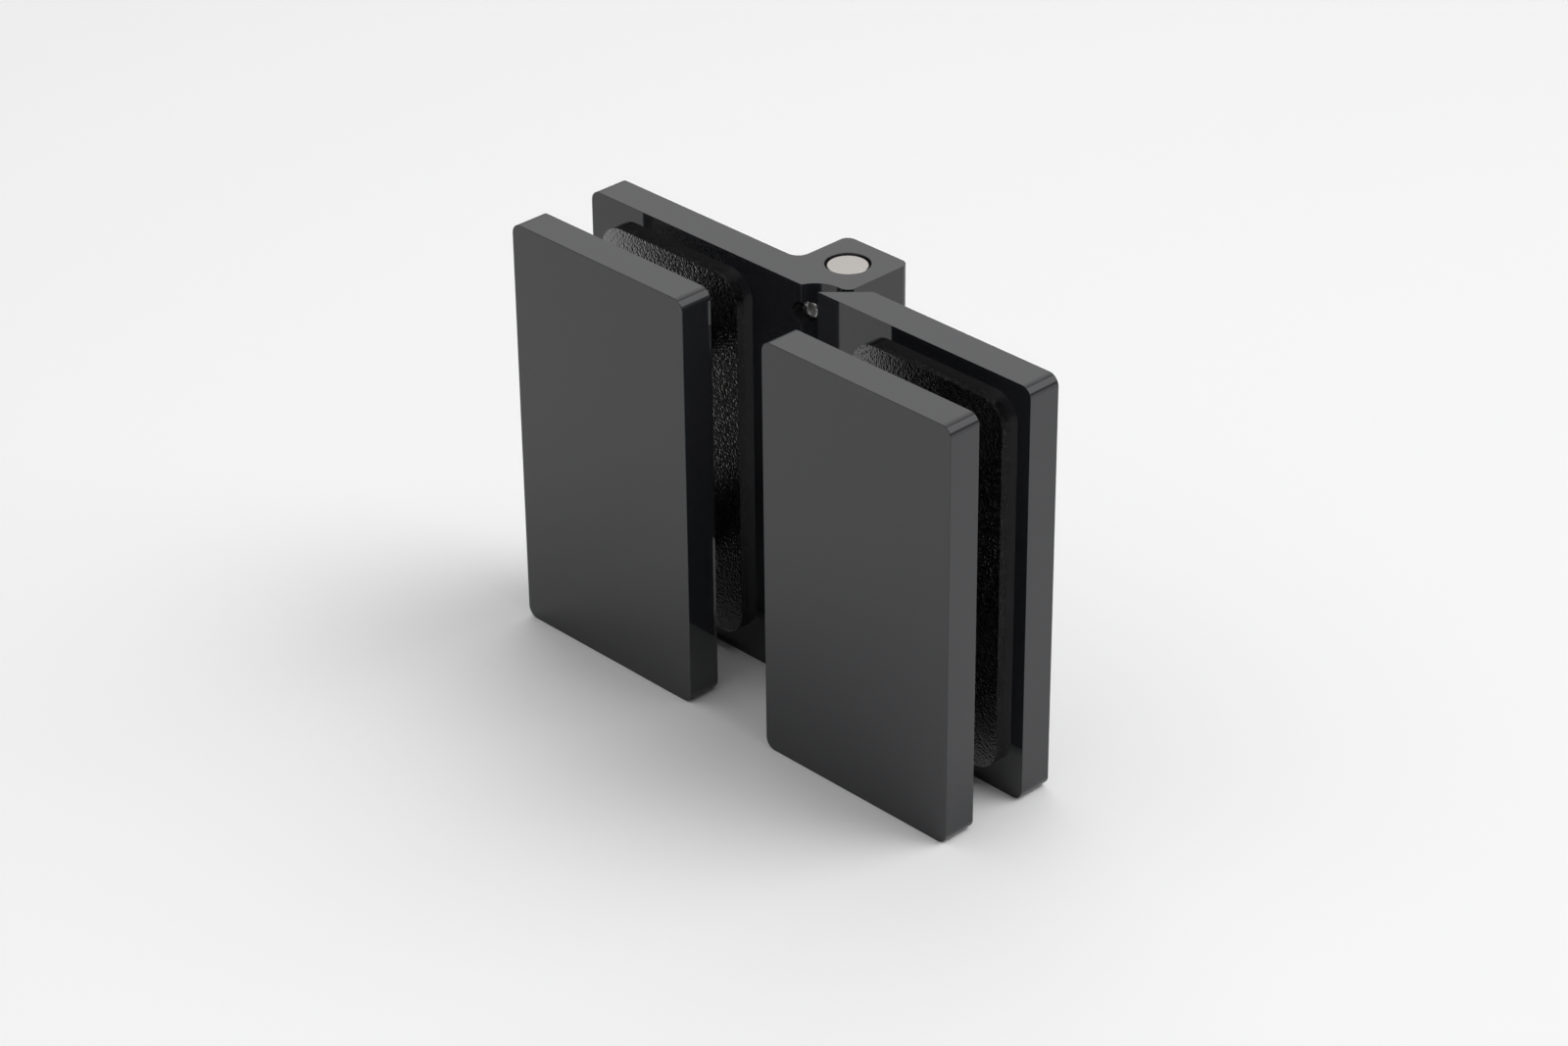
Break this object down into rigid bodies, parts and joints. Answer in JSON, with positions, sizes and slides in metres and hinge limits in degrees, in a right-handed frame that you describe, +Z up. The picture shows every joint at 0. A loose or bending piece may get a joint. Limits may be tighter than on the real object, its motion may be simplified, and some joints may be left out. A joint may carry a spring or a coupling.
{
  "type": "glass door hinge",
  "caption": "Satin black glass-to-glass door hinge with clamp plates, rubber gaskets and square rear knuckles on a steel pin; opens through a half turn.",
  "frame": {"origin": "middle of the bottom of the box round the closed hinge, on the surface it stands on", "axes": "+X along the hinge from the left pane to the right pane, +Y from the clamp plates to the knuckles behind the panes, +Z up along the hinge pin"},
  "size_m": [0.127, 0.0448, 0.096],
  "materials": {
    "body": "satin black powder coat",
    "gasket": "matt black rubber with a fine grain",
    "pin": "turned stainless steel",
    "grub_screw": "bright stainless steel",
    "clamp_screw": "black oxide",
    "bush": "dark acetal",
    "sleeve": "black nylon"
  },
  "bodies": {
    "left_side": {"left_leaf": "body", "left_clamp_plate": "body", "left_leaf_gasket": "gasket", "left_plate_gasket": "gasket", "hinge_pin": "pin", "upper_grub_screw": "grub_screw", "lower_grub_screw": "grub_screw", "left_upper_clamp_screw": "clamp_screw", "left_lower_clamp_screw": "clamp_screw", "left_upper_sleeve": "sleeve", "left_lower_sleeve": "sleeve"},
    "right_side": {"right_leaf": "body", "right_clamp_plate": "body", "right_leaf_gasket": "gasket", "right_plate_gasket": "gasket", "upper_bush": "bush", "lower_bush": "bush", "right_upper_clamp_screw": "clamp_screw", "right_lower_clamp_screw": "clamp_screw", "right_upper_sleeve": "sleeve", "right_lower_sleeve": "sleeve"}
  },
  "joints": [
    {"name": "hinge_turn", "type": "hinge", "parent": "left_side", "child": "right_side", "pos_m": [0, 0.0134, 0.048], "axis": [0, 0, 1], "range_deg": [0, 180]}
  ]
}
